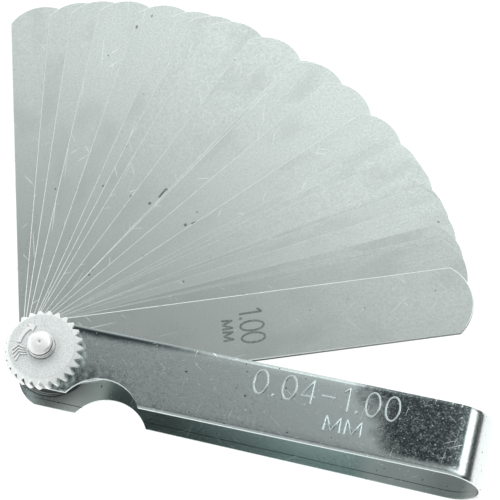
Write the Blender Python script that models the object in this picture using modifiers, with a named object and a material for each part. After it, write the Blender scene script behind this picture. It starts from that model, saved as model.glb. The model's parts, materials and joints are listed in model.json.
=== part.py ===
"""Feeler gauge: 25 metric blades fanned out of a folded steel case on one threaded pivot.

Frame: +Z runs up the pivot screw from its head to the lock nut, and the origin is on the screw's
axis at the underside of its head, which the tool rests on. +X runs along the case from the pivot to
its bend, and the blades fan out over the case's +Y side. Sizes below are in millimetres.
"""
import math

import bmesh
import bpy

MM = 0.001                       # metres in a millimetre

# Blades, listed from the top of the stack to the bottom.
THICKNESSES = [1.00] + [n / 100 for n in range(4, 11)] + [n / 100 for n in range(15, 100, 5)]
FAN_ANGLES = [20.5, 25.0, 25.4, 25.9, 27.6, 31.2, 33.9, 34.8, 35.3, 39.9, 41.4, 43.3, 48.6,
              56.0, 61.5, 62.3, 69.9, 76.3, 79.6, 82.8, 88.0, 94.1, 98.4, 101.9, 107.9]
BLADE_WIDTH = 12.7
BLADE_REACH = 77.0               # pivot axis to the tip of the blade
TIP_CORNER = 73.8                # pivot axis to where the rounded tip starts
BUTT_REACH = 4.4                 # pivot axis to the back of the blade
BUTT_R = 7.1                     # curve of the back, a little flatter than a half round
BLADE_HOLE_R = 2.49
LEAF_GAP = 0.015                 # air between neighbouring leaves of the stack

# Case: one strip folded into a U, its two plates spreading apart towards the bend.
SHEET = 0.6
CASE_HALF_WIDTH = 6.35
CASE_END_R = 6.7                 # round ends of both plates, about the pivot
FLAT_END = 6.5                   # the plates are parallel up to here and spread beyond it
SPREAD_TOP = 0.018               # rise of the top plate per millimetre
SPREAD_BOTTOM = 0.028            # fall of the bottom plate per millimetre
BEND_START = 73.8
BEND_DEPTH = 6.85                # how far the rounded bend reaches beyond its start
EDGE_ROUND = 0.15
CASE_HOLE_R = 2.5
NOTCH_X = 12.35                  # thumb notch: a round bite out of the front edge
NOTCH_R = 7.65
NOTCH_DEPTH = 3.9
END_ARC_STOP = 100               # degrees; the round end leaves the plate's side here

# Pivot screw, a number 10 thread of 32 turns an inch.
HEAD_R = 4.75
HEAD_HEIGHT = 2.0
HEAD_CHAMFER = 0.35
THREAD_R = 2.415
THREAD_DEPTH = 0.45
THREAD_PITCH = 25.4 / 32
STUD_ABOVE_NUT = 2.5
CROWN_R = 1.9                    # slightly domed end of the stud
CROWN_HEIGHT = 0.1
DIMPLE_R = 0.4
DIMPLE_DEPTH = 0.3

# Lock nut.
NUT_HEIGHT = 3.2
NUT_TIP_R = 7.15
NUT_ROOT_R = 6.5
NUT_FACE_R = 6.0
NUT_TEETH = 26
NUT_BORE_R = 2.48
NUT_LOWER_CHAMFER = 0.3
ARROW_R = 4.4                    # raised turning arrow on the nut's face
ARROW_WIDTH = 0.45
ARROW_HEIGHT = 0.15
ARROW_FROM, ARROW_TO = 200, 122  # degrees, tail and start of the head
ARROW_HEAD_ANGLE = 14
ARROW_HEAD_HALF = 0.75

SEAT_GAP = 0.02                  # air between the screw head, the case and the nut

CASE_BASE = HEAD_HEIGHT + SEAT_GAP
STACK_BASE = CASE_BASE + SHEET
STACK_HEIGHT = sum(THICKNESSES) + (len(THICKNESSES) + 1) * LEAF_GAP
CASE_TOP = STACK_BASE + STACK_HEIGHT + SHEET
NUT_BASE = CASE_TOP + SEAT_GAP
NUT_TOP = NUT_BASE + NUT_HEIGHT
STUD_TOP = NUT_TOP + STUD_ABOVE_NUT


def arc(centre, radius_x, radius_y, start, stop, steps):
    """Points along an elliptical arc, angles in degrees, both ends included."""
    angles = [math.radians(start + (stop - start) * i / steps) for i in range(steps + 1)]
    return [(centre[0] + radius_x * math.cos(a), centre[1] + radius_y * math.sin(a)) for a in angles]


def circle(centre, radius, steps):
    """Points around a full circle."""
    return arc(centre, radius, radius, 0, 360, steps)[:-1]


def clear_scene():
    for item in list(bpy.data.objects):
        bpy.data.objects.remove(item, do_unlink=True)


def new_collection(name):
    collection = bpy.data.collections.new(name)
    bpy.context.scene.collection.children.link(collection)
    return collection


def new_material(name, colour, roughness):
    material = bpy.data.materials.new(name)
    material.use_nodes = True
    shader = material.node_tree.nodes["Principled BSDF"]
    shader.inputs["Base Color"].default_value = (*colour, 1.0)
    shader.inputs["Metallic"].default_value = 1.0
    shader.inputs["Roughness"].default_value = roughness
    return material


def smooth(item, angle=30):
    item.data.shade_smooth()
    item.data.set_sharp_from_angle(angle=math.radians(angle))


def prism(name, outlines, thickness, edge_round=0.0):
    """A flat outline, with any holes after it, extruded evenly either side of its own plane."""
    curve = bpy.data.curves.new(name, "CURVE")
    curve.dimensions = "2D"
    curve.fill_mode = "BOTH"
    curve.extrude = (thickness / 2 - edge_round) * MM
    curve.bevel_depth = edge_round * MM
    curve.bevel_resolution = 1
    curve.offset = -edge_round * MM
    for outline in outlines:
        spline = curve.splines.new("POLY")
        spline.points.add(len(outline) - 1)
        for point, (x, y) in zip(spline.points, outline):
            point.co = (x * MM, y * MM, 0, 1)
        spline.use_cyclic_u = True
    item = bpy.data.objects.new(name, curve)
    bpy.context.scene.collection.objects.link(item)
    return item


def as_mesh(source, collection):
    """Replace a curve or modified object by its own closed mesh, in the given collection."""
    bpy.context.view_layer.update()
    evaluated = source.evaluated_get(bpy.context.evaluated_depsgraph_get())
    mesh = bpy.data.meshes.new_from_object(evaluated)
    welded = bmesh.new()
    welded.from_mesh(mesh)
    bmesh.ops.remove_doubles(welded, verts=welded.verts, dist=0.000002)
    bmesh.ops.recalc_face_normals(welded, faces=welded.faces)
    welded.to_mesh(mesh)
    welded.free()
    name = source.name
    item = bpy.data.objects.new(name, mesh)
    item.matrix_world = source.matrix_world.copy()
    bpy.data.objects.remove(source, do_unlink=True)
    item.name = name
    collection.objects.link(item)
    return item


def turned(name, profile, steps, collection, closed=False):
    """Spin a profile of (radius, height) points, given from top to bottom, about Z."""
    mesh = bpy.data.meshes.new(name)
    edges = [(i, i + 1) for i in range(len(profile) - 1)]
    if closed:
        edges.append((len(profile) - 1, 0))
    mesh.from_pydata([(r * MM, 0, z * MM) for r, z in profile], edges, [])
    item = bpy.data.objects.new(name, mesh)
    bpy.context.scene.collection.objects.link(item)
    spin = item.modifiers.new("Spin", "SCREW")
    spin.steps = steps
    spin.render_steps = steps
    spin.use_merge_vertices = True
    spin.merge_threshold = 0.000002
    return as_mesh(item, collection)


def rod(name, x, y, radius, bottom, top, collection):
    """A plain cylinder between two heights."""
    shape = bmesh.new()
    bmesh.ops.create_cone(shape, cap_ends=True, segments=48, radius1=radius * MM,
                          radius2=radius * MM, depth=(top - bottom) * MM)
    mesh = bpy.data.meshes.new(name)
    shape.to_mesh(mesh)
    shape.free()
    item = bpy.data.objects.new(name, mesh)
    item.location = (x * MM, y * MM, (bottom + top) / 2 * MM)
    collection.objects.link(item)
    return item


def boolean(item, cutter, operation):
    cutter.hide_render = True
    cutter.display_type = "WIRE"
    step = item.modifiers.new(f"{operation.title()} {cutter.name}", "BOOLEAN")
    step.operation = operation
    step.object = cutter


def case_side():
    """Side view of the folded strip: along the underside, round the bend and back inside."""
    run = BEND_START - FLAT_END
    low = CASE_BASE - SPREAD_BOTTOM * run
    high = CASE_TOP + SPREAD_TOP * run
    centre = (BEND_START, (low + high) / 2)
    half = (high - low) / 2
    beyond = -CASE_END_R - 1
    outside = [(beyond, CASE_BASE), (FLAT_END, CASE_BASE)]
    outside += arc(centre, BEND_DEPTH, half, -90, 90, 20)
    outside += [(FLAT_END, CASE_TOP), (beyond, CASE_TOP)]
    inside = [(beyond, CASE_TOP - SHEET), (FLAT_END, CASE_TOP - SHEET)]
    inside += arc(centre, BEND_DEPTH - SHEET, half - SHEET, 90, -90, 20)
    inside += [(FLAT_END, CASE_BASE + SHEET), (beyond, CASE_BASE + SHEET)]
    return outside + inside


def case_plan():
    """Plan view that trims the pivot end round and leaves the long sides alone."""
    end = arc((0, 0), CASE_END_R, CASE_END_R, END_ARC_STOP, 360 - END_ARC_STOP, 24)
    lean = math.radians(END_ARC_STOP - 90)
    run = 8
    x = end[0][0] + run * math.cos(lean)
    y = end[0][1] + run * math.sin(lean)
    far = BEND_START + BEND_DEPTH + 2
    return end + [(x, -y), (far, -y), (far, y), (x, y)]


def build_case(parts, cutters, material):
    strip = prism("case", [case_side()], 2 * CASE_HALF_WIDTH, EDGE_ROUND)
    strip.rotation_euler = (math.radians(90), 0, 0)
    case = as_mesh(strip, parts)
    tall = 2 * (CASE_TOP + 4)
    plan = as_mesh(prism("case_plan", [case_plan()], tall), cutters)
    notch_y = NOTCH_DEPTH - CASE_HALF_WIDTH - NOTCH_R
    notch = rod("thumb_notch", NOTCH_X, notch_y, NOTCH_R, -tall / 2, tall / 2, cutters)
    hole = rod("pivot_holes", 0, 0, CASE_HOLE_R, -tall / 2, tall / 2, cutters)
    boolean(case, plan, "INTERSECT")
    boolean(case, notch, "DIFFERENCE")
    boolean(case, hole, "DIFFERENCE")
    case.data.materials.append(material)
    smooth(case)


def blade_outline():
    """Round butt close behind the pivot and a flatter round tip, with a slight corner each side."""
    half = BLADE_WIDTH / 2
    sag = BLADE_REACH - TIP_CORNER
    tip_r = (half ** 2 + sag ** 2) / (2 * sag)
    spread = math.degrees(math.asin(half / tip_r))
    lean = math.degrees(math.asin(half / BUTT_R))
    butt = arc((BUTT_R - BUTT_REACH, 0), BUTT_R, BUTT_R, 180 - lean, 180 + lean, 16)
    return butt + arc((BLADE_REACH - tip_r, 0), tip_r, tip_r, -spread, spread, 12)


def build_blades(parts, material):
    top = CASE_TOP - SHEET
    for thickness, angle in zip(THICKNESSES, FAN_ANGLES):
        name = f"blade_{thickness:.2f}".replace(".", "_")
        outlines = [blade_outline(), circle((0, 0), BLADE_HOLE_R, 32)]
        blade = as_mesh(prism(name, outlines, thickness), parts)
        top -= LEAF_GAP
        blade.location = (0, 0, (top - thickness / 2) * MM)
        blade.rotation_euler = (0, 0, math.radians(angle))
        top -= thickness
        blade.data.materials.append(material)


def build_pivot_screw(parts, material):
    profile = [(0, STUD_TOP - DIMPLE_DEPTH), (DIMPLE_R, STUD_TOP - CROWN_HEIGHT / 4),
               (CROWN_R, STUD_TOP - CROWN_HEIGHT)]
    turn_top = STUD_TOP - CROWN_HEIGHT - THREAD_DEPTH
    turns = int((turn_top - NUT_TOP) / THREAD_PITCH)
    for turn in range(turns):
        crest = turn_top - turn * THREAD_PITCH
        profile += [(THREAD_R, crest), (THREAD_R, crest - THREAD_PITCH / 6),
                    (THREAD_R - THREAD_DEPTH, crest - THREAD_PITCH / 2)]
    profile += [(THREAD_R, turn_top - turns * THREAD_PITCH), (THREAD_R, HEAD_HEIGHT),
                (HEAD_R - HEAD_CHAMFER, HEAD_HEIGHT), (HEAD_R, HEAD_HEIGHT - HEAD_CHAMFER),
                (HEAD_R, HEAD_CHAMFER), (HEAD_R - HEAD_CHAMFER, 0), (0, 0)]
    screw = turned("pivot_screw", profile, 48, parts)
    screw.data.materials.append(material)
    smooth(screw)


def knurl_outline():
    """Straight knurl: narrow flats at the tips, wider ones at the roots."""
    pitch = 360 / NUT_TEETH
    points = []
    for tooth in range(NUT_TEETH):
        for share, radius in ((-0.12, NUT_TIP_R), (0.12, NUT_TIP_R), (0.36, NUT_ROOT_R), (0.64, NUT_ROOT_R)):
            a = math.radians((tooth + share) * pitch)
            points.append((radius * math.cos(a), radius * math.sin(a)))
    return points


def arrow_outline():
    """Curved arrow around the stud, pointing the way that tightens the nut."""
    half = ARROW_WIDTH / 2
    band = arc((0, 0), ARROW_R - half, ARROW_R - half, ARROW_FROM, ARROW_TO, 10)
    tip = math.radians(ARROW_TO - ARROW_HEAD_ANGLE)
    base = math.radians(ARROW_TO)
    for angle, radius in ((base, ARROW_R - ARROW_HEAD_HALF), (tip, ARROW_R), (base, ARROW_R + ARROW_HEAD_HALF)):
        band.append((radius * math.cos(angle), radius * math.sin(angle)))
    return band + arc((0, 0), ARROW_R + half, ARROW_R + half, ARROW_TO, ARROW_FROM, 10)


def build_lock_nut(parts, cutters, material):
    bevel = NUT_TIP_R - NUT_FACE_R
    ring = [(NUT_BORE_R, NUT_HEIGHT), (NUT_FACE_R, NUT_HEIGHT), (NUT_TIP_R + 0.1, NUT_HEIGHT - bevel),
            (NUT_TIP_R + 0.1, NUT_LOWER_CHAMFER), (NUT_TIP_R - NUT_LOWER_CHAMFER, 0), (NUT_BORE_R, 0)]
    nut = turned("lock_nut", ring, 104, parts, closed=True)
    knurl = as_mesh(prism("knurl", [knurl_outline()], 2 * NUT_HEIGHT + 1), cutters)
    arrow = as_mesh(prism("arrow", [arrow_outline()], 2 * ARROW_HEIGHT), cutters)
    nut.location = (0, 0, NUT_BASE * MM)
    knurl.location = (0, 0, (NUT_BASE + NUT_HEIGHT / 2) * MM)
    arrow.location = (0, 0, NUT_TOP * MM)
    boolean(nut, knurl, "INTERSECT")
    boolean(nut, arrow, "UNION")
    nut.data.materials.append(material)
    smooth(nut)


def main():
    clear_scene()
    parts = new_collection("feeler_gauge")
    cutters = new_collection("cutters")
    build_case(parts, cutters, new_material("case_nickel", (0.46, 0.49, 0.48), 0.22))
    build_blades(parts, new_material("blade_steel", (0.55, 0.59, 0.57), 0.35))
    build_pivot_screw(parts, new_material("screw_steel", (0.80, 0.81, 0.80), 0.2))
    build_lock_nut(parts, cutters, new_material("nut_satin", (0.72, 0.75, 0.74), 0.45))


main()
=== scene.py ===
"""Looks of the feeler gauge: ground blades with etched marks, folded nickel case, knurled nut."""
import json
import math

import bmesh
import bpy
from mathutils import Matrix, Vector


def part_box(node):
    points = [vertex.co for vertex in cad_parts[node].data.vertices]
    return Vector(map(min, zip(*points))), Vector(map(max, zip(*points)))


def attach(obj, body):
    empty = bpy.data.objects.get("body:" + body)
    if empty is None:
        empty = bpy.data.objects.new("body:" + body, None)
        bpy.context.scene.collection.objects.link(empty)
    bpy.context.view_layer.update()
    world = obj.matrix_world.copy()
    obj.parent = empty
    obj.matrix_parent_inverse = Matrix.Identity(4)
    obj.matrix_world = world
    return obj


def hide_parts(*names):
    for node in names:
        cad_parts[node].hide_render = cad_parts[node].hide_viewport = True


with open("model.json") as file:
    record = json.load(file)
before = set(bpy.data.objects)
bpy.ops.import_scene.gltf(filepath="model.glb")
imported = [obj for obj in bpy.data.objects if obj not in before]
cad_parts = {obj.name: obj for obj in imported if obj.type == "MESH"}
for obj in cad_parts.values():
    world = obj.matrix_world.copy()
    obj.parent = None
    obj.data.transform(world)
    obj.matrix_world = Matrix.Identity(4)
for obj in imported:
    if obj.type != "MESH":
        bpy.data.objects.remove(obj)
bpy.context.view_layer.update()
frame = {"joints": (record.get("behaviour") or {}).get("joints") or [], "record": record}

MM = 0.001                        # metres in a millimetre

# Sizes that the frame's boxes don't give, in metres.
SHEET = 0.6 * MM                  # case metal
SEAT_GAP = 0.02 * MM              # air under the nut
FLAT_END = 6.5 * MM               # the plates spread apart beyond this x
BEND_DEPTH = 6.85 * MM
NOTCH_X = 12.35 * MM
NOTCH_R = 7.65 * MM
NOTCH_DEPTH = 3.9 * MM
HOLE_R = 2.49 * MM                # round the stud
END_R = 6.7 * MM                  # round pivot ends of both plates
ROLL_R = 2.2 * MM                 # rolled long edges of the case
ROLL_BAND = 0.65 * MM             # how wide the rolled strip is
BLADE_HALF = 6.35 * MM
BLADE_REACH = 77.0 * MM
BUTT_REACH = 4.4 * MM             # pivot axis to the back of a blade
BUTT_R = 7.1 * MM
BUTT_STEPS = 36                   # facets round a butt
TIP_SAG = 3.2 * MM                # how far a blade's tip bulges past its corners
RIM_FROM = 0.3 * MM               # blades thicker than this get a painted highlight on their upper corner
BUTT_LINE_FROM = 0.87 * MM        # and blades thicker than this show it round the butt too
NUT_TEETH = 26
NUT_HEIGHT = 3.2 * MM             # up to the plain face round the raised arrow
NUT_FACE_R = 5.95 * MM
NUT_ROOT_R = 6.2 * MM
KNURL_TURN = -0.5                 # teeth that the knurl slants by over the nut's height
THREAD_PITCH = 25.4 / 32 * MM
THREAD_DEPTH = 0.45 * MM
THREAD_R = 2.415 * MM
THREAD_FADE = 1.1 * MM            # the thread grows to full height this far below the stud's top

# What the frame gives.
case_low, case_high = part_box("case")
nut_low, nut_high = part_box("lock_nut")
screw_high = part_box("pivot_screw")[1]
HALF_WIDTH = case_high.y
BEND_START = case_high.x - BEND_DEPTH
CASE_TOP = nut_low.z - SEAT_GAP
BLADE_JOINTS = [j for j in frame["joints"] if j["name"].startswith("blade_turn")]
BLADE_NODES = [frame["record"]["behaviour"]["bodies"][j["child"]][0] for j in BLADE_JOINTS]
STACK_LOW = min(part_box(node)[0].z for node in BLADE_NODES)
LEAF_GAP = CASE_TOP - SHEET - max(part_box(node)[1].z for node in BLADE_NODES)
CASE_BASE = STACK_LOW - LEAF_GAP - SHEET
SPREAD_TOP = (case_high.z - CASE_TOP) / (BEND_START - FLAT_END)
SPREAD_BOTTOM = (CASE_BASE - case_low.z) / (BEND_START - FLAT_END)


# ---------------------------------------------------------------- geometry helpers

def arc(centre, radius_x, radius_y, start, stop, steps):
    """Points along an elliptical arc, angles in degrees, both ends included."""
    angles = [math.radians(start + (stop - start) * i / steps) for i in range(steps + 1)]
    return [(centre[0] + radius_x * math.cos(a), centre[1] + radius_y * math.sin(a)) for a in angles]


def polar(points):
    """Turn (degrees, radius) points about the pivot into x and y."""
    return [(r * math.cos(math.radians(a)), r * math.sin(math.radians(a))) for a, r in points]


def link(item):
    bpy.context.scene.collection.objects.link(item)
    return item


def mesh_object(name, verts, faces):
    mesh = bpy.data.meshes.new(name)
    mesh.from_pydata(verts, [], faces)
    mesh.validate()
    return link(bpy.data.objects.new(name, mesh))


def apply_modifiers(item):
    """Bake an object's modifiers, or a curve's shape, into a plain mesh object."""
    bpy.context.view_layer.update()
    evaluated = item.evaluated_get(bpy.context.evaluated_depsgraph_get())
    mesh = bpy.data.meshes.new_from_object(evaluated)
    name = item.name
    baked = bpy.data.objects.new(name, mesh)
    baked.matrix_world = item.matrix_world.copy()
    bpy.data.objects.remove(item, do_unlink=True)
    baked.name = name
    return link(baked)


def weld(item, distance=0.002 * MM):
    """Merge points that coincide and turn every face outwards."""
    shape = bmesh.new()
    shape.from_mesh(item.data)
    bmesh.ops.remove_doubles(shape, verts=shape.verts, dist=distance)
    bmesh.ops.recalc_face_normals(shape, faces=shape.faces)
    shape.to_mesh(item.data)
    shape.free()


def prism(name, outlines, low, high):
    """A flat outline, with any holes after it, standing between two heights."""
    curve = bpy.data.curves.new(name, "CURVE")
    curve.dimensions = "2D"
    curve.fill_mode = "BOTH"
    curve.extrude = (high - low) / 2
    for outline in outlines:
        spline = curve.splines.new("POLY")
        spline.points.add(len(outline) - 1)
        for point, (x, y) in zip(spline.points, outline):
            point.co = (x, y, 0, 1)
        spline.use_cyclic_u = True
    item = link(bpy.data.objects.new(name, curve))
    item.location.z = (low + high) / 2
    item = apply_modifiers(item)
    weld(item)
    return item


def cut(item, cutter, operation="DIFFERENCE"):
    """Boolean one object by another and remove the cutter."""
    step = item.modifiers.new("Cut", "BOOLEAN")
    step.operation = operation
    step.object = cutter
    item = apply_modifiers(item)
    bpy.data.objects.remove(cutter, do_unlink=True)
    return item


def bevel(item, width, segments=2, angle=30):
    """Round the edges that turn by more than the angle, in degrees."""
    edges = item.modifiers.new("Edges", "BEVEL")
    edges.width = width
    edges.segments = segments
    edges.limit_method = "ANGLE"
    edges.angle_limit = math.radians(angle)
    edges.harden_normals = True
    item.data.shade_smooth()


def lathe(name, profile, steps):
    """Turn a profile, a function of the angle giving (radius, height) rows from top to bottom."""
    rows = [profile(2 * math.pi * k / steps) for k in range(steps)]
    count = len(rows[0])
    verts = []
    for k, row in enumerate(rows):
        a = 2 * math.pi * k / steps
        verts += [(r * math.cos(a), r * math.sin(a), z) for r, z in row]
    faces = []
    for k in range(steps):
        here = k * count
        there = (k + 1) % steps * count
        faces += [(here + i, here + i + 1, there + i + 1, there + i) for i in range(count - 1)]
    item = mesh_object(name, verts, faces)
    weld(item, 0.0005 * MM)
    return item


# ---------------------------------------------------------------- stroke lettering

def glyph(sign):
    """Pen strokes of one character, one unit tall, and its width."""
    w = 0.44
    mid = w / 2
    if sign == "0":
        return [arc((mid, 0.5), mid, 0.5, 90, 450, 28)], w
    if sign == "1":
        return [[(0.06, 0.78), (0.22, 0.98), (0.24, 0.0)]], 0.3
    if sign == "2":
        return [arc((mid, 0.74), mid, 0.26, 165, -35, 12) + [(0, 0), (w, 0)]], w
    if sign == "3":
        upper = arc((mid, 0.76), mid * 0.9, 0.24, 150, -90, 12)
        lower = arc((mid, 0.26), mid, 0.26, 90, -150, 12)
        return [upper, lower], w
    if sign == "4":
        return [[(w * 0.75, 0), (w * 0.75, 1), (0, 0.3), (w, 0.3)]], w
    if sign == "5":
        return [[(w * 0.95, 1), (0.06, 1), (0.03, 0.54)] + arc((mid, 0.31), mid, 0.31, 130, -140, 14)], w
    if sign == "6":
        return [arc((mid, 0.3), mid, 0.3, 180, -180, 20) + [(w * 0.2, 0.72), (w * 0.75, 1)]], w
    if sign == "7":
        return [[(0, 1), (w, 1), (w * 0.3, 0)]], w
    if sign == "8":
        upper = arc((mid, 0.76), mid * 0.85, 0.24, -90, 270, 20)
        lower = arc((mid, 0.26), mid, 0.26, 90, 450, 20)
        return [upper, lower], w
    if sign == "9":
        return [arc((mid, 0.7), mid, 0.3, 0, 360, 20) + [(w * 0.8, 0.28), (w * 0.25, 0)]], w
    if sign == "M":
        return [[(0, 0), (0.05, 1), (0.42, 0.1), (0.8, 1), (0.85, 0)]], 0.85
    if sign == "-":
        return [[(0, 0.45), (w, 0.45)]], w
    if sign == ".":
        return [arc((0.05, 0.05), 0.03, 0.03, 0, 360, 8)], 0.1
    return [], 0.3


def soften(stroke, near=0.05):
    """Extra points close to each corner of a pen stroke, so that its tube keeps its width up to there."""
    points = [Vector(stroke[0])]
    for start, end in zip(stroke, stroke[1:]):
        start, end = Vector(start), Vector(end)
        run = end - start
        if run.length > 4 * near:
            points += [start + run.normalized() * near, end - run.normalized() * near]
        points.append(end)
    return points


def lettering(name, lines, stroke_r, stretch=1.0):
    """Round pen strokes for lines of (text, height, centre x, base y, spacing), lying in z = 0."""
    curve = bpy.data.curves.new(name, "CURVE")
    curve.dimensions = "3D"
    curve.bevel_depth = stroke_r
    curve.bevel_resolution = 2
    curve.use_fill_caps = True
    for text, height, centre, base, spacing in lines:
        glyphs = [glyph(sign) for sign in text]
        total = sum(width for _, width in glyphs) + spacing * (len(text) - 1)
        x = centre - total * height * stretch / 2
        for strokes, width in glyphs:
            for stroke in map(soften, strokes):
                spline = curve.splines.new("POLY")
                spline.points.add(len(stroke) - 1)
                for point, (u, v) in zip(spline.points, stroke):
                    point.co = (x + u * height * stretch, base + v * height, 0, 1)
            x += (width + spacing) * height * stretch
    return link(bpy.data.objects.new(name, curve))


# ---------------------------------------------------------------- materials

PAINTED_DARK = (0.035, 0.047, 0.05)       # painted dark reflection, where the case mirrors something dark, and painted shade


class Nodes:
    """Short names for building one procedural metal."""

    def __init__(self, name, colour, roughness):
        self.material = bpy.data.materials.new(name)
        self.material.use_nodes = True
        self.tree = self.material.node_tree
        self.shader = self.tree.nodes["Principled BSDF"]
        self.shader.inputs["Metallic"].default_value = 1.0
        self.colour = (*colour, 1.0)
        self.roughness = roughness
        self.height = None
        self.where = self.tree.nodes.new("ShaderNodeTexCoord").outputs["Object"]

    def noise(self, scale, stretch=(1, 1, 1), turn=0.0, detail=3.0, offset=(0, 0, 0)):
        """Noise with features of 1/scale metres, drawn out along a turned axis where stretch is below 1."""
        mapping = self.tree.nodes.new("ShaderNodeMapping")
        mapping.vector_type = "TEXTURE"
        mapping.inputs["Location"].default_value = [0.01 * o for o in offset]
        mapping.inputs["Rotation"].default_value = (0, 0, math.radians(turn))
        mapping.inputs["Scale"].default_value = [1 / (scale * s) for s in stretch]
        self.tree.links.new(self.where, mapping.inputs["Vector"])
        noise = self.tree.nodes.new("ShaderNodeTexNoise")
        noise.inputs["Scale"].default_value = 1.0
        noise.inputs["Detail"].default_value = detail
        self.tree.links.new(mapping.outputs["Vector"], noise.inputs["Vector"])
        return noise.outputs["Fac"]

    def span(self, value, low, high, to_low=0.0, to_high=1.0):
        """A smooth step of the value, from to_low at low to to_high at high."""
        step = self.tree.nodes.new("ShaderNodeMapRange")
        step.interpolation_type = "SMOOTHSTEP"
        for key, number in (("From Min", low), ("From Max", high), ("To Min", to_low), ("To Max", to_high)):
            step.inputs[key].default_value = number
        self.tree.links.new(value, step.inputs["Value"])
        return step.outputs["Result"]

    def math(self, operation, a, b):
        node = self.tree.nodes.new("ShaderNodeMath")
        node.operation = operation
        for socket, value in zip(node.inputs, (a, b)):
            if isinstance(value, (int, float)):
                socket.default_value = value
            else:
                self.tree.links.new(value, socket)
        return node.outputs["Value"]

    def product(self, first, *others):
        """Where several masks meet."""
        for other in others:
            first = self.math("MULTIPLY", first, other)
        return first

    def axis(self, index):
        split = self.tree.nodes.new("ShaderNodeSeparateXYZ")
        self.tree.links.new(self.where, split.inputs["Vector"])
        return split.outputs[index]

    def radius(self):
        """Distance from the pivot's axis."""
        squares = [self.product(self.axis(i), self.axis(i)) for i in (0, 1)]
        return self.math("SQRT", self.math("ADD", *squares), 0.0)

    def tint(self, mask, colour, strength=1.0):
        """Lay another colour over what is there, where the mask says."""
        mix = self.tree.nodes.new("ShaderNodeMix")
        mix.data_type = "RGBA"
        self.tree.links.new(self.math("MULTIPLY", mask, strength), mix.inputs["Factor"])
        if isinstance(self.colour, tuple):
            mix.inputs["A"].default_value = self.colour
        else:
            self.tree.links.new(self.colour, mix.inputs["A"])
        mix.inputs["B"].default_value = (*colour, 1.0)
        self.colour = mix.outputs["Result"]

    def rough(self, mask, amount):
        """Make the surface duller where the mask says, or glossier with a negative amount."""
        added = self.math("MULTIPLY", mask, amount)
        self.roughness = self.math("ADD", self.roughness, added)

    def raise_by(self, mask, amount):
        """Add to the height that the bump is made from."""
        added = self.math("MULTIPLY", mask, amount)
        self.height = added if self.height is None else self.math("ADD", self.height, added)

    def finish(self, bump_distance=0.02 * MM):
        self.tree.links.new(self.colour, self.shader.inputs["Base Color"])
        if isinstance(self.roughness, float):
            self.shader.inputs["Roughness"].default_value = self.roughness
        else:
            self.tree.links.new(self.roughness, self.shader.inputs["Roughness"])
        if self.height is not None:
            bump = self.tree.nodes.new("ShaderNodeBump")
            bump.inputs["Strength"].default_value = 1.0
            bump.inputs["Distance"].default_value = bump_distance
            self.tree.links.new(self.height, bump.inputs["Height"])
            self.tree.links.new(bump.outputs["Normal"], self.shader.inputs["Normal"])
        return self.material


def blade_steel(name, number, tone):
    """Ground spring steel: lengthwise grain, soft mottling, pits and handling scratches."""
    base = (0.63 * tone, 0.7 * tone, 0.675 * tone)
    dark = tuple(c * 0.7 for c in base)
    light = tuple(min(1.0, c * 1.3) for c in base)
    n = Nodes(name, base, 0.27)
    shift = (number * 3.1, number * 1.7, number * 0.9)
    grain = n.noise(14000, (0.02, 1, 1), detail=2.0, offset=shift)
    mottle = n.noise(2800, detail=4.0, offset=shift)
    cloud = n.noise(120, (0.6, 1, 1), detail=3.0, offset=shift)
    pits = n.span(n.noise(800, (0.8, 1, 1), detail=1.0, offset=shift), 0.785, 0.8)
    n.tint(n.span(n.axis(0), 66 * MM, 24 * MM), dark, 0.5)
    n.tint(n.span(mottle, 0.45, 0.66), dark, 0.36)
    n.tint(n.span(mottle, 0.5, 0.32), light, 0.14)
    n.tint(n.span(cloud, 0.48, 0.7), dark, 0.35)
    n.tint(n.span(grain, 0.5, 0.75), dark, 0.25)
    n.tint(pits, (0.12, 0.13, 0.13), 0.75)
    for turn, stretch in ((38, 0.06), (-47, 0.08), (6, 0.02)):
        scratch = n.span(n.noise(3200, (stretch, 1, 1), turn=turn, detail=0.5, offset=shift), 0.775, 0.8)
        n.tint(scratch, light, 0.7)
        n.rough(scratch, 0.12)
    n.rough(n.span(mottle, 0.3, 0.7), 0.08)
    n.raise_by(grain, 0.25)
    n.raise_by(mottle, 0.3)
    return n.finish(0.004 * MM)


def blade_edge_shade():
    """Blanked edge of a blade: rougher, with lines along it, dark partly as painted shade between the
    blades, and nearly black round the pivot as painted shadow.
    """
    # the dark base colour is partly the rough blanked edge and partly painted shade between the blades
    n = Nodes("blade_edge_shade", (0.14, 0.165, 0.158), 0.42)
    n.tint(n.span(n.noise(3000, detail=3.0), 0.4, 0.7), (0.08, 0.095, 0.09), 0.6)
    # painted shadow of the nut: nearly black round the pivot
    n.tint(n.span(n.axis(0), 2.5 * MM, 0), (0.02, 0.025, 0.024), 0.85)
    n.raise_by(n.noise(9000, (0.05, 0.05, 1), detail=1.0), 0.6)
    return n.finish(0.006 * MM)


def blade_rim_highlight():
    """Upper corner of a blade's edge: a painted highlight along the sides, weaker at the tip, with painted
    shade at the butt.
    """
    # painted highlight: the upper corner much lighter than the blade's steel
    n = Nodes("blade_rim_highlight", (0.88, 0.92, 0.91), 0.3)
    n.tint(n.span(n.noise(1500, detail=3.0), 0.5, 0.75), (0.6, 0.66, 0.64), 0.8)
    # the painted highlight weakens towards the tip
    n.tint(n.span(n.axis(0), 30 * MM, 60 * MM), (0.68, 0.74, 0.72), 0.6)
    # painted shade at the butt
    n.tint(n.span(n.axis(0), 1 * MM, -2 * MM), (0.2, 0.23, 0.225), 0.88)
    n.raise_by(n.noise(6000, detail=2.0), 0.5)
    return n.finish(0.004 * MM)


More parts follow.
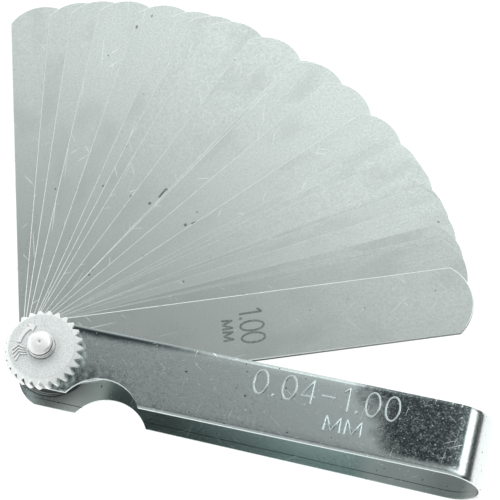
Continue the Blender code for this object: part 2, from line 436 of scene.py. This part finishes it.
def case_nickel():
    """Worn bright nickel: orange peel under painted dark reflections and painted shade on the plates, a
    painted highlight at the end of the bend, and marks of wear.
    """
    n = Nodes("case_nickel", (0.58, 0.67, 0.657), 0.17)
    peel = n.noise(3300, detail=4.0)
    ripple = n.noise(900, detail=2.0, offset=(2, 5, 1))
    n.tint(n.span(peel, 0.45, 0.7), (0.34, 0.42, 0.41), 0.35)
    top_plate_shade_and_reflections(n, peel, ripple)
    inner_plate_light_and_shade(n)
    # painted highlight: the outer end of the bend made lighter
    n.tint(n.span(n.axis(0), 76.5 * MM, 79 * MM), (0.74, 0.76, 0.755), 0.7)
    case_wear(n)
    n.rough(n.span(peel, 0.3, 0.7), 0.1)
    n.raise_by(peel, 0.4)
    n.raise_by(ripple, 0.4)
    return n.finish(0.005 * MM)


def top_plate_shade_and_reflections(n, peel, ripple):
    """Painted dark reflections on the top plate, a cloud before the bend and a band along the rear edge,
    and painted shade by the notch.
    """
    top = n.span(n.axis(2), CASE_TOP - 0.6 * SHEET, CASE_TOP - 0.4 * SHEET)
    broad = n.noise(170, detail=2.0, offset=(1, 4, 2))
    along = n.math("ADD", n.axis(0), n.math("MULTIPLY", broad, 12 * MM))
    along = n.math("ADD", along, n.math("MULTIPLY", n.axis(1), 0.5))
    # painted dark reflection: a mottled cloud on the top plate before the bend
    cloud = n.product(n.span(along, 63 * MM, 71 * MM), n.span(n.axis(0), 76.3 * MM, 75.7 * MM),
                      top, n.span(n.axis(1), -5.8 * MM, -4.5 * MM))
    n.tint(n.product(cloud, n.span(peel, 0.86, 0.42)), PAINTED_DARK, 0.93)
    n.tint(n.product(cloud, n.span(ripple, 0.7, 0.35)), PAINTED_DARK, 0.7)
    # painted dark reflection: a band along the rear edge, wider towards the pivot
    reach = n.span(n.axis(0), 46 * MM, 8 * MM, -0.5 * MM, 1.3 * MM)
    reach = n.math("ADD", reach, n.math("MULTIPLY", ripple, 0.5 * MM))
    band = n.span(n.math("ADD", n.axis(1), reach), HALF_WIDTH - 0.6 * MM, HALF_WIDTH + 0.8 * MM)
    weaker = n.span(n.axis(1), HALF_WIDTH + 0.05 * MM, HALF_WIDTH - 0.3 * MM, 0.55, 1.0)
    n.tint(n.product(band, weaker, top), PAINTED_DARK, 0.95)
    # more painted dark reflection: a strip at the very rear edge, darker towards the pivot
    rear = n.product(n.span(n.axis(1), HALF_WIDTH - 0.4 * MM, HALF_WIDTH - 0.3 * MM), top)
    n.tint(n.product(rear, n.span(n.axis(0), 75 * MM, 40 * MM)), (0.3, 0.34, 0.335), 0.6)
    # painted shade beside the nut, by the notch
    stain_and_painted_shade = n.product(n.span(n.axis(1), 1 * MM, -3 * MM), n.span(n.axis(0), 19 * MM, 9 * MM), top)
    n.tint(n.product(stain_and_painted_shade, n.span(ripple, 0.75, 0.3)), PAINTED_DARK, 0.8)


def inner_plate_light_and_shade(n):
    """Inside of the lower plate, all painted light and shade: light by the pivot, dark past the notch,
    lighter towards the bend.
    """
    level = n.math("ADD", n.axis(2), n.math("MULTIPLY", n.axis(0), SPREAD_BOTTOM))
    above = CASE_BASE + SPREAD_BOTTOM * FLAT_END + SHEET / 2
    inner = n.product(n.span(level, above, above + 0.1 * MM), n.span(n.axis(2), 6 * MM, 5 * MM))
    deep_shade = n.product(n.span(n.axis(0), 52 * MM, 12 * MM), n.span(n.axis(0), 9 * MM, 14 * MM))
    near = n.product(inner, n.span(n.axis(0), 12 * MM, 9 * MM))
    far = n.product(inner, n.span(n.axis(0), 56 * MM, 63 * MM))
    # painted shade past the notch
    n.tint(n.product(inner, deep_shade), PAINTED_DARK, 0.8)
    # painted shade over the whole inside
    n.tint(inner, (0.4, 0.46, 0.45), 0.45)
    # painted reflection of the blade stack: lighter by the pivot
    n.tint(near, (0.93, 1.0, 0.97), 0.92)
    # painted shade at the very pivot end
    n.tint(n.product(near, n.span(n.axis(0), 6 * MM, 0)), (0.15, 0.185, 0.18), 0.8)
    n.rough(near, 0.35)
    # painted light towards the bend, with painted shade at the bend itself
    n.tint(far, (0.43, 0.49, 0.475), 0.92)
    n.tint(n.product(far, n.span(n.axis(0), 67 * MM, 74 * MM)), (0.26, 0.3, 0.29), 0.7)
    n.rough(far, 0.4)
    # painted shadow line along the front of the inner face
    shadow_line_offset = n.math("ABSOLUTE", n.math("ADD", n.axis(1), 5.1 * MM), 0.0)
    n.tint(n.product(inner, n.span(shadow_line_offset, 0.09 * MM, 0.05 * MM)), PAINTED_DARK, 0.8)


def case_wear(n):
    """Pits, bright flecks and crossing scratches."""
    pits = n.span(n.noise(1300, detail=1.0), 0.755, 0.775)
    flecks = n.span(n.noise(2400, detail=0.0, offset=(3, 1, 2)), 0.79, 0.81)
    n.tint(pits, (0.05, 0.055, 0.055), 0.85)
    n.tint(flecks, (0.95, 0.97, 0.96), 0.5)
    for turn, stretch in ((-35, 0.06), (28, 0.05), (80, 0.07)):
        scratch = n.span(n.noise(3600, (stretch, 1, 1), turn=turn, detail=0.5), 0.76, 0.78)
        n.tint(scratch, (0.85, 0.95, 0.93), 0.5)


def nut_satin():
    """Blasted plate: even grain on the face, worn chamfer and tooth tips also lightened as a painted
    highlight, painted shade low between the teeth, and painted shadow turning them nearly black on the -x
    side.
    """
    n = Nodes("nut_satin", (0.88, 0.93, 0.92), 0.48)
    grit = n.noise(3200, detail=4.0)
    stain_and_painted_shade = n.noise(420, detail=3.0)
    speck = n.noise(5600, detail=2.0)
    n.tint(n.span(grit, 0.42, 0.66), (0.66, 0.71, 0.7), 0.5)
    n.tint(n.span(speck, 0.52, 0.7), (0.4, 0.45, 0.44), 0.65)
    n.tint(n.span(stain_and_painted_shade, 0.5, 0.75), (0.6, 0.64, 0.63), 0.2)
    worn_and_highlit = n.span(n.radius(), NUT_FACE_R, NUT_FACE_R + 0.1 * MM)
    # painted highlight on top of wear: the chamfer and teeth made lighter
    n.tint(worn_and_highlit, (0.95, 0.98, 0.97), 0.9)
    below = n.span(n.axis(2), 2.1 * MM, 1.6 * MM)
    valley = n.product(below, n.span(n.radius(), NUT_ROOT_R + 0.68 * MM, NUT_ROOT_R + 0.45 * MM))
    # painted shade: the lower valleys between the teeth darker
    n.tint(n.product(valley, n.span(grit, 0.8, 0.3)), (0.42, 0.46, 0.455), 0.85)
    # painted shadow: the lower valleys nearly black on the -x side
    painted_shadow = n.product(valley, n.span(n.axis(0), 2 * MM, -1.5 * MM))
    n.tint(painted_shadow, (0.03, 0.033, 0.033), 0.95)
    n.rough(n.span(grit, 0.3, 0.7), 0.12)
    n.rough(worn_and_highlit, 0.16)
    n.raise_by(grit, 1.0)
    return n.finish(0.012 * MM)


def arrow_plate():
    """The raised arrow's rubbed plating: bright on top, with painted shade at its foot."""
    n = Nodes("arrow_plate", (0.97, 0.99, 0.98), 0.5)
    n.tint(n.span(n.noise(3200, detail=3.0), 0.5, 0.7), (0.75, 0.79, 0.78), 0.4)
    # painted shade: darker towards the foot of the arrow
    n.tint(n.span(n.axis(2), 0.14 * MM, 0.02 * MM), (0.3, 0.33, 0.33), 0.75)
    n.raise_by(n.noise(3200), 0.6)
    return n.finish(0.01 * MM)


def screw_steel():
    """Bright steel with fine lathe rings, painted shade in the thread grooves and in the centre dimple."""
    n = Nodes("screw_steel", (0.95, 0.97, 0.96), 0.42)
    fine = n.noise(4000, detail=2.0)
    n.tint(n.span(fine, 0.5, 0.75), (0.7, 0.73, 0.72), 0.3)
    top = screw_high.z
    # painted shade in the centre dimple
    n.tint(n.span(n.radius(), 0.34 * MM, 0.22 * MM), (0.3, 0.33, 0.32), 0.7)
    # painted shade in the thread grooves, below the top
    crest = n.span(n.axis(2), top - THREAD_FADE, top, THREAD_R, THREAD_R - THREAD_DEPTH)
    groove = n.span(n.math("SUBTRACT", crest, n.radius()), 0.06 * MM, 0.16 * MM)
    groove = n.product(groove, n.span(n.axis(2), top - 0.36 * MM, top - 0.44 * MM))
    n.tint(groove, (0.05, 0.055, 0.055), 0.9)
    ring_rate = 52 / MM
    rings = n.math("SINE", n.math("MULTIPLY", n.radius(), ring_rate), 0.0)
    n.raise_by(rings, 0.15)
    n.raise_by(fine, 0.3)
    n.rough(n.span(fine, 0.3, 0.7), 0.08)
    return n.finish(0.003 * MM)


def etched():
    """Dark etched marks in the blades."""
    n = Nodes("etched_mark", (0.17, 0.20, 0.19), 0.55)
    n.tint(n.span(n.noise(3500, detail=2.0), 0.4, 0.7), (0.33, 0.37, 0.36), 0.7)
    n.raise_by(n.noise(6000), 0.5)
    return n.finish(0.004 * MM)


# ---------------------------------------------------------------- blades

def blade_outline(inset):
    """Round butt close behind the pivot and a flatter round tip, with a slight corner each side."""
    half = BLADE_HALF - inset
    tip_r = (BLADE_HALF ** 2 + TIP_SAG ** 2) / (2 * TIP_SAG)
    centre = BLADE_REACH - tip_r
    tip_r -= inset
    spread = math.degrees(math.asin(half / tip_r))
    butt_r = BUTT_R - inset
    lean = math.degrees(math.asin(half / butt_r))
    butt = arc((BUTT_R - BUTT_REACH, 0), butt_r, butt_r, 180 - lean, 180 + lean, BUTT_STEPS)
    return butt + arc((centre, 0), tip_r, tip_r, -spread, spread, 28)


def blade_mesh(name, thick):
    """A blade with rolled edges: rings of the outline from the lower face to the upper one.

    Its faces take the blade's steel (slot 0), its edge darkened with painted shade (1) or its upper corner
    lightened as a painted highlight (2).
    """
    roll = 0.07 * MM + 0.13 * thick          # how far in the rolled edge reaches
    drop = min(0.42 * thick, 1.2 * roll)     # and how far down
    turns = [math.radians(a) for a in (90, 60, 30, 0)]
    levels = [(roll * (1 - math.cos(a)), thick / 2 - drop * (1 - math.sin(a))) for a in turns]
    levels = [(inset, -z) for inset, z in levels] + [(inset, z) for inset, z in reversed(levels)]
    verts = [(x, y, z) for inset, z in levels for x, y in blade_outline(inset)]
    count = len(verts) // len(levels)
    faces = [tuple(reversed(range(count))), tuple(range(len(verts) - count, len(verts)))]
    for level in range(len(levels) - 1):
        for i in range(count):
            j = (i + 1) % count
            low, high = level * count, (level + 1) * count
            faces.append((low + i, low + j, high + j, high + i))
    blade = mesh_object(name, verts, faces)
    # slot 1 carries painted shade, slot 2 a painted highlight
    steel, edge, rim = 0, 1, 2
    side_slot = rim if thick > RIM_FROM else steel
    butt_slot = rim if thick > BUTT_LINE_FROM else edge
    upper_rings = 5 * count
    for number, face in enumerate(blade.data.polygons[2:]):
        at_butt = number % count < BUTT_STEPS
        upper_slot = butt_slot if at_butt else side_slot
        face.material_index = upper_slot if number >= upper_rings else edge
    return blade


def build_blade(joint, node, number, shaded_edge_material, highlight_rim_material, mark_material):
    """One blade in its own frame, x along it, then turned to its place in the fan."""
    angle = math.radians(-joint["range_deg"][0])
    low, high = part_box(node)
    thick = high.z - low.z
    blade = blade_mesh(node.replace("blade", "leaf"), thick)
    blade.data.materials.append(blade_steel(node + "_steel", number, TONES[number]))
    blade.data.materials.append(shaded_edge_material)
    blade.data.materials.append(highlight_rim_material)
    hole = arc((0, 0), HOLE_R, HOLE_R, 0, 360, 40)[:-1]
    blade = cut(blade, prism("hole", [hole], -thick, thick))
    blade.data.shade_smooth()
    normals = blade.modifiers.new("Normals", "WEIGHTED_NORMAL")
    normals.weight = 100
    blade.location.z = (low.z + high.z) / 2
    blade.rotation_euler.z = angle
    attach(blade, joint["child"])
    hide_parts(node)
    build_blade_mark(joint, node, angle, high.z, mark_material)


def build_blade_mark(joint, node, angle, face_z, material):
    """The blade's size in mm, etched across its upper face."""
    size = node.split("_", 1)[1].replace("_", ".").lstrip("0")
    lines = [(size, 4.2 * MM, -0.3 * MM, 35.2 * MM, 0.1), ("MM", 1.9 * MM, 0.2 * MM, 31.9 * MM, 0.3)]
    mark = lettering(node.replace("blade", "mark"), lines, 0.19 * MM)
    nearly_flat = 0.02
    mark.scale.z = nearly_flat
    mark = apply_modifiers(mark)
    across = Matrix.Rotation(math.radians(-90), 4, "Z")
    on_face = Matrix.Translation((0, 0, face_z))
    mark.matrix_world = Matrix.Rotation(angle, 4, "Z") @ on_face @ across @ mark.matrix_world
    mark.data.materials.clear()
    mark.data.materials.append(material)
    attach(mark, joint["child"])


# ---------------------------------------------------------------- case

def case_path():
    """Outer line of the folded strip as (x, z, inward x, inward z), underside first."""
    low = CASE_BASE - SPREAD_BOTTOM * (BEND_START - FLAT_END)
    high = CASE_TOP + SPREAD_TOP * (BEND_START - FLAT_END)
    beyond = -END_R - 1 * MM
    flat = [beyond, -2 * MM, 2 * MM, FLAT_END]
    parts = 22
    run = [FLAT_END + (BEND_START - FLAT_END) * k / parts for k in range(1, parts)]
    path = [(x, CASE_BASE, 0, 1) for x in flat]
    path += [(x, CASE_BASE - SPREAD_BOTTOM * (x - FLAT_END), SPREAD_BOTTOM, 1) for x in run]
    centre = (low + high) / 2
    half = (high - low) / 2
    bend_steps = 36
    for k in range(bend_steps + 1):
        a = math.radians(-90 + 180 * k / bend_steps)
        inward = Vector((-math.cos(a) * half, -math.sin(a) * BEND_DEPTH)).normalized()
        x = BEND_START + BEND_DEPTH * math.cos(a)
        path.append((x, centre + half * math.sin(a), inward.x, inward.y))
    path += [(x, CASE_TOP + SPREAD_TOP * (x - FLAT_END), SPREAD_TOP, -1) for x in reversed(run)]
    path += [(x, CASE_TOP, 0, -1) for x in reversed(flat)]
    return path


def edge_drop(y):
    """How far a rolled long edge falls away from the plate's face."""
    into = abs(y) - (HALF_WIDTH - ROLL_BAND)
    if into <= 0:
        return 0.0
    return ROLL_R - math.sqrt(ROLL_R ** 2 - into ** 2)


def case_section():
    """(y, depth) ring across the strip: outer face, then inner face."""
    middle = HALF_WIDTH - ROLL_BAND
    edge = [HALF_WIDTH - ROLL_BAND * (1 - k / 6) for k in range(1, 7)]
    ys = [-y for y in reversed(edge)] + [middle * (k / 5 - 1) for k in range(11)] + edge
    outer = [(y, edge_drop(y)) for y in ys]
    inner = [(y, SHEET) for y in reversed(ys)]
    return outer + inner


def case_shell():
    """The folded strip with square ends: one ring of its section for each point of its path."""
    path = case_path()
    section = case_section()
    verts = []
    for x, z, inward_x, inward_z in path:
        verts += [(x + inward_x * d, y, z + inward_z * d) for y, d in section]
    count = len(section)
    faces = []
    for k in range(len(path) - 1):
        for i in range(count):
            j = (i + 1) % count
            faces.append((k * count + i, k * count + j, (k + 1) * count + j, (k + 1) * count + i))
    faces.append(tuple(range(count)))
    faces.append(tuple(reversed(range((len(path) - 1) * count, len(path) * count))))
    case = mesh_object("case_shell", verts, faces)
    weld(case)
    return case


def pivot_end_plan():
    """Plan of both plates: a round pivot end whose sides lean out until they pass the long edges."""
    lean = 10
    end = arc((0, 0), END_R, END_R, 90 + lean, 270 - lean, 48)
    run = 8 * MM
    x = end[0][0] + run * math.cos(math.radians(lean))
    y = end[0][1] + run * math.sin(math.radians(lean))
    past_bend = 100 * MM
    return end + [(x, -y), (past_bend, -y), (past_bend, y), (x, y)]


def build_case():
    """The folded strip cut to its plan, with its thumb notch and the holes for the stud."""
    low = -5 * MM
    high = CASE_TOP + 8 * MM
    case = cut(case_shell(), prism("plan", [pivot_end_plan()], low, high), "INTERSECT")
    notch_y = NOTCH_DEPTH - HALF_WIDTH - NOTCH_R
    notch = arc((NOTCH_X, notch_y), NOTCH_R, NOTCH_R, 0, 360, 96)[:-1]
    case = cut(case, prism("notch", [notch], low, high))
    hole = arc((0, 0), HOLE_R, HOLE_R, 0, 360, 48)[:-1]
    case = cut(case, prism("hole", [hole], low, high))
    bevel(case, 0.07 * MM, 2, 40)
    case.data.materials.clear()
    case.data.materials.append(case_nickel())
    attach(case, "case_body")
    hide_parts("case")
    return case


def build_case_mark(material):
    """Raised size range on the top plate."""
    sizes = ("0.04-1.00", 4.4 * MM, 0, 0.7 * MM, 0.2)
    unit = ("MM", 2.7 * MM, 4 * MM, -3.4 * MM, 0.25)
    mark = lettering("case_mark", [sizes, unit], 0.24 * MM, 1.25)
    x = 51 * MM
    sunk = 0.03 * MM
    mark.location = (x, 0, CASE_TOP + SPREAD_TOP * (x - FLAT_END) - sunk)
    mark.rotation_euler.y = -math.atan(SPREAD_TOP)
    mark = apply_modifiers(mark)
    mark.data.materials.clear()
    mark.data.materials.append(material)
    mark.data.shade_smooth()
    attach(mark, "case_body")


# ---------------------------------------------------------------- lock nut and screw

def knurl(name, tip_r, low, high, turn):
    """Star-shaped block with narrow flat tips, twisted by the given number of teeth over its height."""
    pitch = 2 * math.pi / NUT_TEETH
    # One tooth as (share of the pitch, radius).
    profile = [(-0.1, tip_r), (0.1, tip_r), (0.46, NUT_ROOT_R), (0.54, NUT_ROOT_R)]
    levels = 12
    verts = []
    for level in range(levels + 1):
        share = level / levels
        for tooth in range(NUT_TEETH):
            for place, radius in profile:
                a = (tooth + place + turn * (share - 0.5)) * pitch
                verts.append((radius * math.cos(a), radius * math.sin(a), low + (high - low) * share))
    count = NUT_TEETH * len(profile)
    faces = [tuple(reversed(range(count))), tuple(range(levels * count, (levels + 1) * count))]
    for level in range(levels):
        for i in range(count):
            j = (i + 1) % count
            near, far = level * count, (level + 1) * count
            faces.append((near + i, near + j, far + j, far + i))
    return mesh_object(name, verts, faces)


def build_nut(material):
    """Chamfered ring cut to slanted teeth, with its arrow on top."""
    tip_r = nut_high.x
    outer_r = tip_r + 0.1 * MM
    slope = tip_r - NUT_FACE_R
    rim = [(HOLE_R, NUT_HEIGHT), (NUT_FACE_R, NUT_HEIGHT), (outer_r, NUT_HEIGHT - slope),
           (outer_r, 0.4 * MM), (tip_r - 0.3 * MM, 0), (HOLE_R, 0), (HOLE_R, NUT_HEIGHT)]
    nut = lathe("knurled_nut", lambda a: rim, 156)
    spare = 0.2 * MM
    nut = cut(nut, knurl("knurl", tip_r, -spare, NUT_HEIGHT + spare, KNURL_TURN), "INTERSECT")
    bevel(nut, 0.04 * MM, 1, 40)
    nut.location.z = nut_low.z
    nut.data.materials.clear()
    nut.data.materials.append(material)
    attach(nut, "nut_body")
    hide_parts("lock_nut")
    build_arrow(arrow_plate(), nut_low.z + NUT_HEIGHT)


def build_arrow(material, face_z):
    """Raised curved arrow on the nut's face: barbed head, shaft and a feathered tail."""
    radius = 4.1 * MM
    half = 0.34 * MM
    neck = 136
    tail = 183
    shaft = arc((0, 0), radius - half, radius - half, tail, neck, 24)
    shaft += arc((0, 0), radius + half, radius + half, neck, tail, 24)
    barb = 0.95 * MM
    head = [(neck, radius - barb), (neck - 17, radius), (neck, radius + barb)]
    outlines = [shaft, polar(head)]
    quill = 4.2
    for k in range(4):
        start = tail + 4 + 8 * k
        end = start + 10
        for side in (-1, 1):
            far = radius + side * 1.15 * MM
            feather = [(start, radius), (start + quill, radius), (end + quill, far), (end, far)]
            outlines.append(polar(feather))
    sunk = 0.1 * MM
    proud = 0.3 * MM
    for number, outline in enumerate(outlines):
        piece = prism(f"arrow_{number}", [outline], face_z - sunk, face_z + proud)
        bevel(piece, 0.08 * MM, 3, 30)
        piece.data.materials.append(material)
        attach(piece, "nut_body")


def screw_profile(angle):
    """Dimpled crown, helical thread above and inside the nut, plain shank, head with round corners."""
    top = screw_high.z
    dimple = [(0, top - 0.16 * MM), (0.12 * MM, top - 0.15 * MM), (0.3 * MM, top - 0.03 * MM)]
    crown = [(k * MM, top - 0.05 * MM * k * k) for k in (0.4, 0.8, 1.2, 1.5, 1.68)]
    shoulder = (1.78 * MM, top - 0.24 * MM)
    rows = dimple + crown + [shoulder]
    thread_end = top - 0.42 * MM
    thread_start = nut_high.z - 1.2 * MM
    steps = 70
    for k in range(steps + 1):
        z = thread_end + (thread_start - thread_end) * k / steps
        phase = (z / THREAD_PITCH - angle / (2 * math.pi)) % 1.0
        groove = max(0.0, 1 - abs(phase - 0.5) / 0.4)
        fade = min(1.0, (top - z) / THREAD_FADE)
        crest = THREAD_R - THREAD_DEPTH * (1 - fade)
        rows.append((min(crest, THREAD_R - THREAD_DEPTH * groove), z))
    head_z = 2.0 * MM
    corner = 0.4 * MM
    flat_r = screw_high.x - corner
    rows += [(THREAD_R, thread_start - 0.2 * MM), (THREAD_R, head_z), (flat_r, head_z)]
    rows += arc((flat_r, head_z - corner), corner, corner, 75, 0, 5)
    rows += arc((flat_r, corner), corner, corner, 0, -90, 6)
    return rows + [(0, 0)]


def build_screw(material):
    """The stud and its head, turned in one piece."""
    screw = lathe("threaded_stud", screw_profile, 128)
    screw.data.shade_smooth()
    screw.data.set_sharp_from_angle(angle=math.radians(50))
    screw.data.materials.append(material)
    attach(screw, "case_body")
    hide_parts("pivot_screw")


# ---------------------------------------------------------------- stage

def build_floor():
    """White table top, a little brighter to the metal than to the eye."""
    size = 3.0
    corners = [(-size, -size, 0), (size, -size, 0), (size, size, 0), (-size, size, 0)]
    floor = mesh_object("floor", corners, [(0, 1, 2, 3)])
    material = bpy.data.materials.new("floor")
    material.use_nodes = True
    tree = material.node_tree
    shader = tree.nodes["Principled BSDF"]
    shader.inputs["Base Color"].default_value = (0.35, 0.35, 0.35, 1)
    shader.inputs["Roughness"].default_value = 0.9
    shader.inputs["Emission Color"].default_value = (1, 1, 1, 1)
    shader.inputs["Emission Strength"].default_value = 0.86
    lit = tree.nodes.new("ShaderNodeEmission")
    lit.inputs["Strength"].default_value = 1.35
    join_by_ray(tree, lit.outputs["Emission"], shader.outputs["BSDF"], tree.nodes["Material Output"])
    floor.data.materials.append(material)


def join_by_ray(tree, lighting, seen, output):
    """Give light to the object from one shader and show the eye another."""
    path = tree.nodes.new("ShaderNodeLightPath")
    choose = tree.nodes.new("ShaderNodeMixShader")
    tree.links.new(path.outputs["Is Camera Ray"], choose.inputs["Fac"])
    tree.links.new(lighting, choose.inputs[1])
    tree.links.new(seen, choose.inputs[2])
    tree.links.new(choose.outputs["Shader"], output.inputs["Surface"])


class Studio:
    """Light of the surroundings, built up as a function of direction."""

    def __init__(self, world):
        self.tree = world.node_tree
        self.where = self.tree.nodes.new("ShaderNodeTexCoord").outputs["Generated"]
        self.light = None

    def step(self, axis, start, end, low, high):
        """A smooth step from one value to another along an axis."""
        dot = self.tree.nodes.new("ShaderNodeVectorMath")
        dot.operation = "DOT_PRODUCT"
        dot.inputs[1].default_value = Vector(axis).normalized()
        self.tree.links.new(self.where, dot.inputs[0])
        ramp = self.tree.nodes.new("ShaderNodeMapRange")
        ramp.interpolation_type = "SMOOTHSTEP"
        for key, number in (("From Min", start), ("From Max", end), ("To Min", low), ("To Max", high)):
            ramp.inputs[key].default_value = number
        self.tree.links.new(dot.outputs["Value"], ramp.inputs["Value"])
        return ramp.outputs["Result"]

    def combine(self, operation, value):
        if self.light is None:
            self.light = value
            return
        node = self.tree.nodes.new("ShaderNodeMath")
        node.operation = operation
        self.tree.links.new(self.light, node.inputs[0])
        self.tree.links.new(value, node.inputs[1])
        self.light = node.outputs["Value"]


def build_world():
    """Bright back and left walls, a dimmer front and horizon, a dark card past the bend, a lamp."""
    world = bpy.data.worlds.new("studio")
    bpy.context.scene.world = world
    world.use_nodes = True
    world.node_tree.nodes.clear()
    back = (0.33, 0.94, 0)
    front = (0, -1, 0)
    left = (-1, 0, 0)
    up = (0, 0, 1)
    past_bend = (0.97, 0, -0.243)
    lamp = (0.757, 0.298, 0.58)
    studio = Studio(world)
    studio.combine("ADD", studio.step(back, 0.16, 0.44, 0.07, 1.6))
    studio.combine("ADD", studio.step(front, -0.22, 0.15, 0.0, 0.6))
    studio.combine("ADD", studio.step(front, 0.7, 0.9, 0.0, 0.4))
    studio.combine("MAXIMUM", studio.step(left, 0.36, 0.56, 0.0, 1.35))
    studio.combine("MULTIPLY", studio.step(up, 0.3, 0.75, 0.6, 1.0))
    studio.combine("MULTIPLY", studio.step(past_bend, 0.61, 0.67, 1.0, 0.02))
    studio.combine("MAXIMUM", studio.step(lamp, 0.974, 0.99, 0.0, 2.5))
    tree = world.node_tree
    lit = tree.nodes.new("ShaderNodeBackground")
    tree.links.new(studio.light, lit.inputs["Color"])
    plain = tree.nodes.new("ShaderNodeBackground")
    plain.inputs["Color"].default_value = (1, 1, 1, 1)
    out = tree.nodes.new("ShaderNodeOutputWorld")
    join_by_ray(tree, lit.outputs["Background"], plain.outputs["Background"], out)


def build_camera():
    """Near-overhead view from in front of the case, a little beyond its bend."""
    place = Vector((87.13, -104.63, 350.35)) * MM
    target = Vector((30.03, 29.59, 8.0)) * MM
    roll = math.radians(-9.86)
    data = bpy.data.cameras.new("camera")
    data.lens = 145.45
    data.sensor_width = 36
    data.clip_start = 0.01
    camera = link(bpy.data.objects.new("camera", data))
    turn = (target - place).to_track_quat("-Z", "Y").to_matrix().to_4x4()
    camera.matrix_world = Matrix.Translation(place) @ turn @ Matrix.Rotation(roll, 4, "Z")
    bpy.context.scene.camera = camera


# How bright each blade's grind is, from the top of the stack down.
TONES = [0.86, 0.84, 0.85, 0.85, 0.88, 0.98, 0.96, 0.94, 0.97, 1.0, 1.0, 1.02, 1.0,
         1.01, 0.99, 1.02, 1.0, 1.0, 0.98, 1.0, 1.0, 1.02, 1.0, 0.99, 1.0]

bpy.context.scene.view_settings.view_transform = "Standard"
build_world()
build_floor()
build_camera()
shaded_edge_material = blade_edge_shade()
highlight_rim_material = blade_rim_highlight()
mark_material = etched()
for number, (joint, node) in enumerate(zip(BLADE_JOINTS, BLADE_NODES)):
    build_blade(joint, node, number, shaded_edge_material, highlight_rim_material, mark_material)
shell = build_case()
build_case_mark(shell.data.materials[0])
build_nut(nut_satin())
build_screw(screw_steel())
